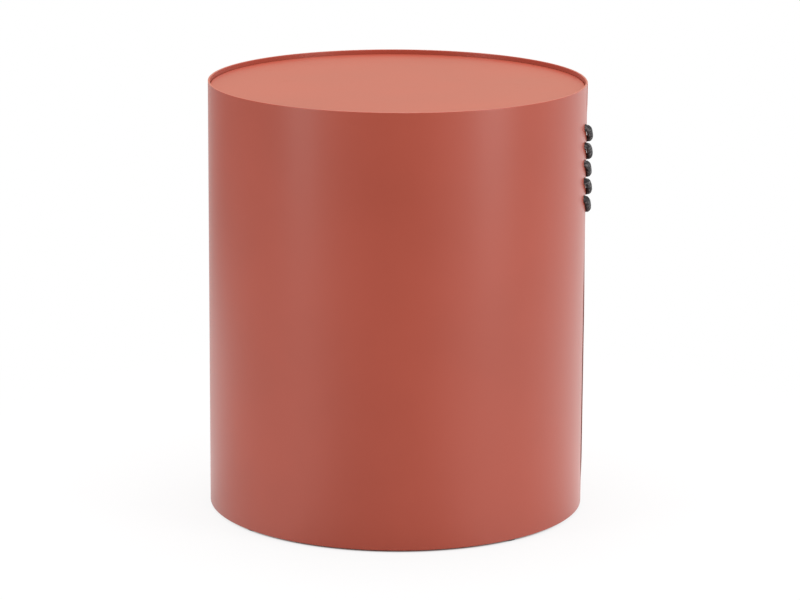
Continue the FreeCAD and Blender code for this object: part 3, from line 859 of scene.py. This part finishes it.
def stopped_end(hole, middle, lacing, knot, turn):
    """The cord from a hole inwards: a straight lead, the knot turned about X, and the tail."""
    cosine, sine = math.cos(turn), math.sin(turn)
    y = knot[:, 1] * cosine - knot[:, 2] * sine
    z = knot[:, 1] * sine + knot[:, 2] * cosine
    tied = np.stack([middle - lacing.lead - knot[:, 0], hole[0] + y, hole[1] + z], 1)
    return np.vstack([[[middle, *hole]], tied, tied[-1:] + [-lacing.tail, *TAIL_LEAN]])


def cord_line(drum, lacing):
    """The whole cord from tail to tail, at even steps and with its corners eased."""
    holes = lacing_holes(lacing)
    middle = hole_plane(drum, lacing)
    knot = overhand_knot(lacing.cord)
    upper = stopped_end(holes[0], middle, lacing, knot, UPPER_TURN)
    lower = stopped_end(holes[-1], middle, lacing, knot, LOWER_TURN)
    line = np.vstack([upper[::-1], lacing_line(drum, lacing)[1:-1], lower])
    return even_steps(softened(even_steps(line, CORD_STEP), 2), CORD_STEP)


def carried_frame(line):
    """Direction, side and upright of a line's points; side is carried along without twisting, by
    reflecting it in the plane between each point and the next, and again between their directions."""
    direction = np.gradient(line, axis=0)
    direction /= np.linalg.norm(direction, axis=1, keepdims=True)
    side = np.empty_like(line)
    side[0] = np.cross(direction[0], (0.0, 0.0, 1.0))
    side[0] /= np.linalg.norm(side[0])
    for k in range(len(line) - 1):
        step = line[k + 1] - line[k]
        reach = step @ step
        mirrored = side[k] - 2 / reach * (step @ side[k]) * step
        heading = direction[k] - 2 / reach * (step @ direction[k]) * step
        turn = direction[k + 1] - heading
        size = turn @ turn
        side[k + 1] = mirrored - (2 / size * (turn @ mirrored) * turn if size > 1e-18 else 0)
    return direction, side, np.cross(direction, side)


def braid_relief(along, around, lacing):
    """Height of a 2-over-2 braid over its lowest yarns, with the top yarn's tone and fibre place.

    Yarns of the two directions have phases n(around + along/lay) and n(around - along/lay). In a
    yarn's own phase its back is round; along the other phase it rises and dips once in four."""
    yarns = lacing.carriers
    phase = yarns * np.stack([around + along / lacing.lay, around - along / lacing.lay])
    yarn = np.floor(phase)
    place = phase - yarn
    back = np.sqrt(1 - YARN_ROUNDNESS * (2 * place - 1) ** 2)
    wave = np.cos(math.pi / 2 * (yarn + phase[::-1] - 1)) * np.array([1, -1])[:, None, None]
    height = YARN_LIFT * wave + YARN_BULGE * back
    on_top = height[0] > height[1]
    tones = np.random.default_rng(11).random((2, yarns)) ** 3
    spots = np.random.default_rng(12).random(SPOTS) ** 3
    wheel = (yarn % yarns).astype(int)
    carrier = np.where(on_top, tones[0][wheel[0]], tones[1][wheel[1]])
    crossing = spots[(yarn[0] * SPOT_STEPS[0] + yarn[1] * SPOT_STEPS[1]).astype(int) % SPOTS]
    fibre = np.where(
        on_top, place[0] + yarn[0] * FIBRE_STEPS[0], place[1] + yarn[1] * FIBRE_STEPS[1] + FIBRE_START)
    return height.max(0), YARN_SHARE * carrier + (1 - YARN_SHARE) * crossing, fibre


class DRUM_OT_cord(bpy.types.Operator):
    """Lace the seam with the braided cord and tie its two stopper knots"""
    bl_idname = "drum_table.cord"
    bl_label = "Lace the cord"

    def execute(self, context):
        """The point at (s, t) lies off the line by the braid's radius there, at angle t, clockwise,
        in the carried frame. Stitches are pressed flat against the sheet, ends are rounded off."""
        drum, lacing = context.scene.drum_sizes, context.scene.lacing_sizes
        line = cord_line(drum, lacing)
        direction, side, upright = carried_frame(line)
        along = travelled(line)[:, None]
        around = np.arange(CORD_SIDES)[None, ::-1] / CORD_SIDES
        relief, tone, fibre = braid_relief(along, around, lacing)
        highest = YARN_LIFT * math.cos(math.pi / 4) + YARN_BULGE
        from_end = np.clip(np.minimum(along, along[-1] - along) / (lacing.cord / 3), 0.02, 1)
        radius = (lacing.cord / 2 - highest + relief) * np.sqrt(1 - (1 - from_end) ** 2)
        angle = 2 * math.pi * around[..., None]
        offset = radius[..., None] * (np.cos(angle) * side[:, None] + np.sin(angle) * upright[:, None])
        outward = np.array([1.0, 0.0, 0.0])
        across = np.cross(direction, outward)
        outside = line[:, :1] > drum.radius - drum.thickness / 2
        pressed = FLATTEN * (1 - direction[:, :1] ** 2) * outside
        offset -= (pressed * (offset @ outward))[..., None] * outward
        offset += (pressed * np.einsum("ijk,ik->ij", offset, across))[..., None] * across[:, None]
        surface = Surface()
        surface.add_tube(
            line[:, None] + offset, line[[0, -1]], yarn_tone=tone, fibre=fibre,
            yarn_height=np.clip(relief / highest, 0, 1))
        nodes = ["lacing_cord", "upper_knot", "lower_knot"]
        surface.piece("lacing_braid", "charcoal_braid", "braided_cord", nodes)
        return {"FINISHED"}


# Rings, fasteners and glides

# The rolled angle: its outer corner, its cut edges, the play of its holes round what passes them,
# half of a hole's block of cells, and the lines between two blocks
RING_CORNER = 0.6 * MILLIMETRE
RING_ROUNDING = 0.4 * MILLIMETRE
RING_PLAY = 0.4 * MILLIMETRE
RING_BLOCK = 7.5 * MILLIMETRE
RING_LINES = 52

# The weld beads: how many on a ring, their size and place, their grid and their ripples
WELDS = 16
WELD_LENGTH = 24 * MILLIMETRE
WELD_SIZE = 1.25 * MILLIMETRE
WELD_INSET = 0.3 * MILLIMETRE
WELD_DROP = 0.2 * MILLIMETRE
WELD_STEPS = 60
WELD_SIDES = 12
WELD_RIPPLES = 13
WELD_RIPPLE_SHARE = 0.07
WELD_WANDER_SHARE = 0.04

# The fasteners: rods with their thread, nuts, and washers
ROD_CHAMFER = 0.8 * MILLIMETRE
ROD_SIDES = 26
LINES_PER_PITCH = 9
THREAD_DEPTH_SHARE = 0.58
THREAD_POWER = 0.8
FIT = 0.05 * MILLIMETRE
NUT_INSET = 0.45 * MILLIMETRE
NUT_TURNS = 96
NUT_HEIGHT_SHARES = np.array(
    [0, 0.02, 0.05, 0.09, 0.14, 0.2, 0.35, 0.5, 0.65, 0.8, 0.86, 0.91, 0.95, 0.98, 1])
NUT_FACE_SHARE = 0.965
WASHER_TURNS = 64
WASHER_SOFT_SHARE = 0.22
FASTENER_CREASE = math.radians(38)

# A glide's round foot and crown, and the ridge where its mould parts
GLIDE_FOOT = 1.2 * MILLIMETRE
GLIDE_CROWN = 0.5 * MILLIMETRE
GLIDE_RIDGE = 0.08 * MILLIMETRE
GLIDE_PARTING_SHARE = 0.55
GLIDE_SOLE_SHARES = (0.3, 0.6)
GLIDE_TOP_SHARES = (0.5, 0.3)
GLIDE_TURNS = 72
GLIDE_CREASE = math.radians(50)


def angle_outline(b, leg, depth, corner):
    """The outline of a rolled angle at a depth under its outer face, at developed length b: the
    distance from the flat leg's tip, and how far down. The corner is an arc of that radius."""
    reach = depth + corner
    turn = (np.clip((b - leg) / reach, -1, 1) + 1) * math.pi / 4
    in_corner = np.abs(b - leg) < reach
    out = np.where(in_corner, leg - reach + corner * np.sin(turn), np.where(b < leg, b, leg - depth))
    down = np.where(in_corner, depth + corner * (1 - np.cos(turn)), np.where(b < leg, depth, b - leg))
    return np.stack([out, down])


class DRUM_OT_rings(bpy.types.Operator):
    """Roll the two angle rings and weld them into the drum"""
    bl_idname = "drum_table.rings"
    bl_label = "Roll the rings"

    def execute(self, context):
        sizes = context.scene.fastener_sizes
        rings = (
            ("upper_ring", STUD_ANGLES, sizes.stud / 2 + RING_PLAY, -1),
            ("lower_ring", GLIDE_ANGLES, sizes.screw / 2 + RING_PLAY, 1),
        )
        for node, angles, hole_radius, rise in rings:
            low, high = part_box(node)
            surface = self.ring(sizes, low, high, angles, hole_radius, rise)
            surface.piece("rolled_" + node, "terracotta_coat", "coated_ring", [node])
            self.welds("weld_beads_" + node, context.scene.drum_sizes, low.z)
        return {"FINISHED"}

    def ring(self, sizes, low, high, angles, hole_radius, rise):
        """One ring: its flat leg lies on top with the other leg down, or the other way up."""
        leg = high.z - low.z
        inner_radius = high.x - leg
        flat_height = low.z if rise > 0 else high.z
        middle_across = sizes.circle - inner_radius
        spacing = 2 * math.pi * sizes.circle / len(angles)
        start = angles[0] * sizes.circle
        block = np.linspace(-RING_BLOCK, RING_BLOCK, HOLE_CELLS + 1)
        plain = np.linspace(RING_BLOCK, spacing - RING_BLOCK, RING_LINES)
        one = np.concatenate([block, plain[1:-1]])
        lines = np.concatenate([start + one + number * spacing for number in range(len(angles))])
        across = np.concatenate([
            [RING_ROUNDING], middle_across + block,
            np.linspace(middle_across + RING_BLOCK, leg - RING_CORNER, 4)[1:],
            leg + RING_CORNER * np.linspace(-1, 1, 5)[1:-1],
            np.linspace(leg + RING_CORNER, 2 * leg - RING_ROUNDING * 2, 8), [2 * leg - RING_ROUNDING]])
        along, across = np.meshgrid(lines, across, indexing="ij")
        holes = [
            (number * len(one), 1, start + number * spacing, middle_across, hole_radius)
            for number in range(len(angles))]

        def place(a, b, depth):
            """Turned round Z: the developed width goes out along one leg and along the other."""
            part = depth / sizes.ring_sheet
            outer = angle_outline(b, leg, 0.0, RING_CORNER)
            inner = angle_outline(b, leg, sizes.ring_sheet, sizes.ring_root)
            out, down = (1 - part) * outer + part * inner
            return polar(inner_radius + out, a / sizes.circle, flat_height + rise * down)

        return pierced_sheet(along, across, holes, sizes.ring_sheet, RING_ROUNDING, place, closed=True)

    def welds(self, name, drum, height):
        """Short beads along the joint of ring and drum.

        A bead is a tube of radius (1 - |2u - 1|^8)^(1/2) of its size, u running from end to end,
        with ripples along it."""
        surface = Surface()
        u = np.linspace(0, 1, WELD_STEPS + 1)[:, None]
        t = even_turn(WELD_SIDES)
        ripple = WELD_RIPPLE_SHARE * np.cos(2 * math.pi * WELD_RIPPLES * u)
        ripple = 1 + ripple + WELD_WANDER_SHARE * np.sin(17 * u + 2 * t)
        thick = WELD_SIZE * ripple * np.sqrt(np.clip(1 - (2 * u - 1) ** 8, 0.0, 1))
        joint = drum.radius - drum.thickness - WELD_INSET
        for middle in even_turn(WELDS) + math.pi / WELDS:
            angle = middle + (u - 0.5) * WELD_LENGTH / joint
            rings = polar(joint + thick * np.cos(t), angle, height - WELD_DROP + thick * np.sin(t))
            surface.add_tube(rings[1:-1], rings[[0, -1]].mean(1))
        surface.piece(name, "terracotta_coat", "coated_ring", [])


def add_rod(surface, centre, low, high, radius, pitch):
    """A threaded rod: the thread is a rounded V whose phase is height over pitch less the turn."""
    height = np.linspace(low, high, int(round((high - low) / pitch * LINES_PER_PITCH)) + 1)[:, None]
    angle = even_turn(ROD_SIDES)
    wave = 0.5 - 0.5 * np.cos(2 * math.pi * height / pitch - angle)
    ends = radius - ROD_CHAMFER + np.minimum(height - low, high - height)
    out = np.minimum(radius - THREAD_DEPTH_SHARE * pitch * wave ** THREAD_POWER, ends)
    rings = polar(out, angle, height, centre)
    surface.add_tube(rings, rings[[0, -1]].mean(1))


def add_washer(surface, centre, low, high, inner, outer):
    """A flat washer: a closed profile with softened edges, turned round its own axis."""
    soft = (high - low) * WASHER_SOFT_SHARE
    radii = np.array([inner + soft, outer - soft, outer, outer, outer - soft, inner + soft, inner, inner])
    heights = np.array([low, low, low + soft, high - soft, high, high, high - soft, low + soft])
    surface.add_loop(polar(radii, even_turn(WASHER_TURNS)[:, None], heights, centre))


def add_nut(surface, centre, low, high, flats, bore, turns):
    """A hexagon nut: its side is the lesser of the hexagon and the cone of its chamfer, and one
    closed profile goes up the side, over the top, down the bore and back underneath."""
    turn = even_turn(NUT_TURNS)[:, None]
    hexagon = flats / 2 / np.cos((turn + math.pi / 6) % (math.pi / 3) - math.pi / 6)
    rise = (high - low) * NUT_HEIGHT_SHARES
    cone = flats / 2 * NUT_FACE_SHARE + np.minimum(rise, rise[-1] - rise) * math.sqrt(3)
    hollow = bore + NUT_INSET * np.array([1, 0, 0, 1])
    out = np.hstack([np.minimum(hexagon, cone), np.tile(hollow, (len(turn), 1))])
    height = np.concatenate([low + rise, [high, high - NUT_INSET, low + NUT_INSET, low]])
    surface.add_loop(polar(out, turn + next(turns), height, centre))


class DRUM_OT_fasteners(bpy.types.Operator):
    """Set the studs, washers, nuts, screws and weld nuts"""
    bl_idname = "drum_table.fasteners"
    bl_label = "Set the fasteners"

    def execute(self, context):
        """Each set has one function, which gets a place, the node's two heights and the sizes."""
        sizes = context.scene.fastener_sizes
        turns = iter(np.random.default_rng(5).uniform(0, math.pi / 3, 10))
        stud, screw = sizes.stud / 2, sizes.screw / 2
        sets = (
            ("threaded_studs", "plate_studs", STUD_ANGLES, add_rod, stud, sizes.stud_pitch),
            ("threaded_screws", "glide_screws", GLIDE_ANGLES, add_rod, screw, sizes.screw_pitch),
            ("flat_washers", "plate_washers", STUD_ANGLES, add_washer, stud + 3 * FIT, sizes.washer / 2),
            ("hexagon_nuts", "plate_nuts", STUD_ANGLES, add_nut, sizes.nut, stud + FIT, turns),
            ("hexagon_weld_nuts", "weld_nuts", GLIDE_ANGLES, add_nut, sizes.weld_nut, screw + FIT, turns),
        )
        for name, node, angles, add, *measures in sets:
            surface = Surface()
            low, high = (corner.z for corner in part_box(node))
            for x, y, z in polar(sizes.circle, angles, 0.0):
                add(surface, (x, y), low, high, *measures)
            surface.piece(name, "bright_zinc", "zinc_steel", [node], FASTENER_CREASE)
        return {"FINISHED"}


class DRUM_OT_glides(bpy.types.Operator):
    """Screw in the four moulded glides"""
    bl_idname = "drum_table.glides"
    bl_label = "Screw in the glides"

    def execute(self, context):
        for node in GLIDES:
            low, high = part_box(node)
            middle = (low + high) / 2
            surface = Surface()
            surface.add_turned(*self.outline(high.x - middle.x, low.z, high.z), GLIDE_TURNS, middle)
            surface.piece("moulded_" + node, "black_plastic", "glide_plastic", [node], GLIDE_CREASE)
        return {"FINISHED"}

    def outline(self, radius, low, high):
        """A glide's profile from its underside to its top: a flat foot, a round edge, a side with
        the faint ridge of the mould's parting, and a softened upper rim."""
        side = radius - GLIDE_RIDGE
        under = arc(side - GLIDE_FOOT, low + GLIDE_FOOT, GLIDE_FOOT, -90, 0, 6)
        over = arc(side - GLIDE_CROWN, high - GLIDE_CROWN, GLIDE_CROWN, 0, 90)
        parting = low + (high - low) * GLIDE_PARTING_SHARE + 2 * GLIDE_RIDGE * np.array([-1, 0, 1])
        sole, top = (radius * np.array(shares) for shares in (GLIDE_SOLE_SHARES, GLIDE_TOP_SHARES))
        return profile((sole, low), under, ([side, radius, side], parting), over, (top, high))


# The stage

# Where the camera stood, in metres and radians, its lens and sensor in millimetres, and how far it
# sees
CAMERA_DISTANCE = 3.7227
CAMERA_HEIGHT = 1.0897
CAMERA_PITCH = 0.2292
CAMERA_YAW = -0.001
CAMERA_ROLL = 0.0055
CAMERA_LENS = 160.82
CAMERA_SENSOR = 36
CAMERA_REACH = 100

# Softboxes: name and setting of the power, degrees from the camera's side, distance from the axis,
# height, and the box's width and height
SOFTBOXES = (
    ("right_softbox", "right_lamp", 57, 2.3, 0.9, 0.9, 1.9),
    ("left_softbox", "left_lamp", -56, 2.4, 0.9, 0.8, 1.9),
    ("top_softbox", "top_lamp", 0, -0.15, 2.2, 1.6, 1.6),
)
SOFTBOX_AIM = Vector((0, 0, 0.25))

# The studio's brightness in gloss: degrees from the camera's side, to the right where positive,
# then the level on the floor by the table and the level further away
STUDIO_GLOW = (
    (-180, 0.95, 0.55), (-160, 0.97, 1.00), (-145, 1.04, 0.68), (-125, 1.15, 0.38), (-110, 1.15, 0.48),
    (-85, 0.95, 0.58), (-62, 0.98, 0.72), (-42, 1.05, 0.68), (-30, 0.60, 0.38), (-16, 0.22, 0.10),
    (0, 0.13, 0.06), (16, 0.26, 0.16), (32, 1.00, 0.75), (45, 1.02, 0.85), (62, 1.00, 0.62),
    (85, 1.30, 0.80), (110, 1.50, 1.12), (145, 1.30, 1.25), (163, 1.05, 1.20), (180, 0.95, 0.55),
)

# Tone of the paper behind the table, which only gloss shows, and how squarely behind it lies
CREAM = (1.0, 0.985, 0.80, 1.0)
CREAM_BEHIND = (0.80, 0.95)
WHITE = (1, 1, 1, 1)

# The floor: half its width, its paint, and the distances from the axis over which its light into
# the drum fades, its shading under the wall ends, its shadow fades, and the far glow takes over
FLOOR_HALF = 12.0
FLOOR_PAINT = (0.88, 0.88, 0.88, 1)
INSIDE_FADE = (0.17, 0.19)
UNDER_FADE = (0.192, 0.1985)
SHADOW_FADE = (0.25, 0.75)
GLOW_FADE = (0.75, 1.75)


class DRUM_OT_stage(bpy.types.Operator):
    """Set up the camera, the soft lamps, the white room and the floor"""
    bl_idname = "drum_table.stage"
    bl_label = "Set the stage"

    def execute(self, context):
        scene, light = context.scene, context.scene.studio_light
        scene.view_settings.view_transform = "Standard"
        turn = light.camera_turn
        data = bpy.data.cameras.new("camera")
        data.lens, data.sensor_width, data.clip_end = CAMERA_LENS, CAMERA_SENSOR, CAMERA_REACH
        aim = (Matrix.Rotation(turn + CAMERA_YAW, 4, "Z")
               @ Matrix.Rotation(math.pi / 2 - CAMERA_PITCH, 4, "X")
               @ Matrix.Rotation(CAMERA_ROLL, 4, "Z"))
        place = self.round_table(turn, CAMERA_DISTANCE, CAMERA_HEIGHT)
        scene.camera = self.put(scene, "camera", data, place, aim)
        for name, power, degrees, distance, height, width, tall in SOFTBOXES:
            data = bpy.data.lights.new(name, "AREA")
            data.shape = "RECTANGLE"
            data.size, data.size_y, data.energy = width, tall, getattr(light, power)
            place = self.round_table(turn + math.radians(degrees), distance, height)
            aim = (SOFTBOX_AIM - place).to_track_quat("-Z", "Y").to_matrix().to_4x4()
            self.put(scene, name, data, place, aim)
        self.room(scene, light)
        self.floor(scene, light)
        return {"FINISHED"}

    def round_table(self, turn, distance, height):
        """A place on a circle round the table, from -Y towards +X."""
        return Vector((distance * math.sin(turn), -distance * math.cos(turn), height))

    def put(self, scene, name, data, place, aim):
        """An object of the stage at its place."""
        made = bpy.data.objects.new(name, data)
        scene.collection.objects.link(made)
        made.matrix_world = Matrix.Translation(place) @ aim
        return made

    def rays(self, shader):
        """Three masks: rays that show the background itself, rays of gloss, and all other rays."""
        path = shader.node("LightPath")
        direct, through, gloss = (
            Number(shader, path.outputs[f"Is {kind} Ray"]) for kind in ("Camera", "Transmission", "Glossy"))
        direct = direct.larger(through)
        return direct, gloss, (1 - direct - gloss).clipped()

    def studio_glow(self, shader, where, light):
        """Brightness of the studio in gloss near the table and further away, by the angle from the
        camera's side: dark behind the camera, a bright strip on either side, and a white back."""
        turn = light.camera_turn
        ahead = shader.towards(where, (math.sin(turn), -math.cos(turn), 0))
        right = shader.towards(where, (math.cos(turn), math.sin(turn), 0))
        around = right.math("ARCTAN2", right, ahead) / (2 * math.pi) + 0.5
        stops = [(0.5 + degrees / 360, (near, far, 0, 1)) for degrees, near, far in STUDIO_GLOW]
        ramp = shader.node("ValToRGB", {"stops": stops}, {"Fac": around})
        levels = shader.node("SeparateColor", None, {"Color": ramp.outputs["Color"]})
        return Number(shader, levels.outputs["Red"]), Number(shader, levels.outputs["Green"])

    def room(self, scene, light):
        """White where it is seen, the studio's glow in gloss, and plain soft light on everything else."""
        scene.world = bpy.data.worlds.new("white_room")
        scene.world.cycles.sampling_method = "NONE"
        shader = Shader(scene.world)
        direct, gloss, scattered = self.rays(shader)
        where = shader.node("TexCoord").outputs["Generated"]
        near, far = self.studio_glow(shader, where, light)
        strength = direct + gloss * far + scattered * light.world
        turn = light.camera_turn
        behind = shader.towards(where, (-math.sin(turn), math.cos(turn), 0)).between(*CREAM_BEHIND)
        tone = shader.mix(gloss * behind, WHITE, CREAM)
        made = shader.node("Background", None, {"Color": tone, "Strength": strength})
        shader.node("OutputWorld", None, {"Surface": made.outputs["Background"]})

    def floor(self, scene, light):
        """A pale floor: white where it is seen, but for a share of its real shading round the table,
        which keeps the shadow, and all of it under the table. In gloss it has the studio's glow.
        From below it is clear, and it lights the drum's inside softly, so that can be looked at."""
        material = bpy.data.materials.new("floor_white")
        material.cycles.emission_sampling = "NONE"
        shader = Shader(material)
        direct, gloss, scattered = self.rays(shader)
        where = shader.node("TexCoord").outputs["Object"]
        away = shader.number("VectorMath", {"operation": "LENGTH"}, {0: where}, "Value")
        near, far = self.studio_glow(shader, where, light)
        scattered = scattered * (1 - away.between(*INSIDE_FADE))
        glow = near + (far - near) * away.between(*GLOW_FADE)
        strength = direct + gloss * glow + scattered * light.inside
        under = 1 - away.between(*UNDER_FADE)
        shading = under.larger(light.shadow * (1 - away.between(*SHADOW_FADE)))
        glowing = direct * (1 - shading) + gloss * (1 - under) + scattered
        paint = shader.node("BsdfDiffuse", None, {"Color": FLOOR_PAINT})
        shine = shader.node("Emission", None, {"Color": WHITE, "Strength": strength})
        lit = shader.node("MixShader", None, {0: glowing, 1: paint.outputs[0], 2: shine.outputs[0]})
        below = shader.number("NewGeometry", None, None, "Backfacing")
        clear = shader.node("BsdfTransparent")
        both = shader.node("MixShader", None, {0: below * direct, 1: lit.outputs[0], 2: clear.outputs[0]})
        shader.node("OutputMaterial", None, {"Surface": both.outputs[0]})
        mesh = bpy.data.meshes.new("floor")
        corners = [(x * FLOOR_HALF, y * FLOOR_HALF, 0.0) for x, y in ((-1, -1), (1, -1), (1, 1), (-1, 1))]
        mesh.from_pydata(corners, [], [(0, 1, 2, 3)])
        mesh.materials.append(material)
        self.put(scene, "floor", mesh, Vector(), Matrix.Identity(4))


class DRUM_PT_steps(bpy.types.Panel):
    """The steps in the order in which the table is made"""
    bl_idname = "DRUM_PT_steps"
    bl_label = "Drum Table"
    bl_space_type = "VIEW_3D"
    bl_region_type = "UI"
    bl_category = "Drum Table"

    def draw(self, context):
        for step in STEPS:
            self.layout.operator(step.bl_idname)
        for name in GROUPS:
            box = self.layout.box()
            box.label(text=name.replace("_", " ").capitalize())
            group = getattr(context.scene, name)
            for size in group.__annotations__:
                box.prop(group, size)


STEPS = (
    DRUM_OT_stage, DRUM_OT_sheet, DRUM_OT_plate, DRUM_OT_cord, DRUM_OT_rings,
    DRUM_OT_fasteners, DRUM_OT_glides,
)
GROUPS = {
    "drum_sizes": DrumSizes,
    "lacing_sizes": LacingSizes,
    "fastener_sizes": FastenerSizes,
    "table_colours": TableColours,
    "studio_light": StudioLight,
}
CLASSES = (*GROUPS.values(), *STEPS, DRUM_PT_steps)


def register():
    for made in CLASSES:
        bpy.utils.register_class(made)
    for name, group in GROUPS.items():
        setattr(bpy.types.Scene, name, bpy.props.PointerProperty(type=group))


def unregister():
    for name in GROUPS:
        delattr(bpy.types.Scene, name)
    for made in reversed(CLASSES):
        bpy.utils.unregister_class(made)


def main():
    """Makes the whole table."""
    register()
    bpy.ops.drum_table.stage()
    bpy.ops.drum_table.sheet()
    bpy.ops.drum_table.plate()
    bpy.ops.drum_table.cord()
    bpy.ops.drum_table.rings()
    bpy.ops.drum_table.fasteners()
    bpy.ops.drum_table.glides()


if __name__ == "__main__":
    main()
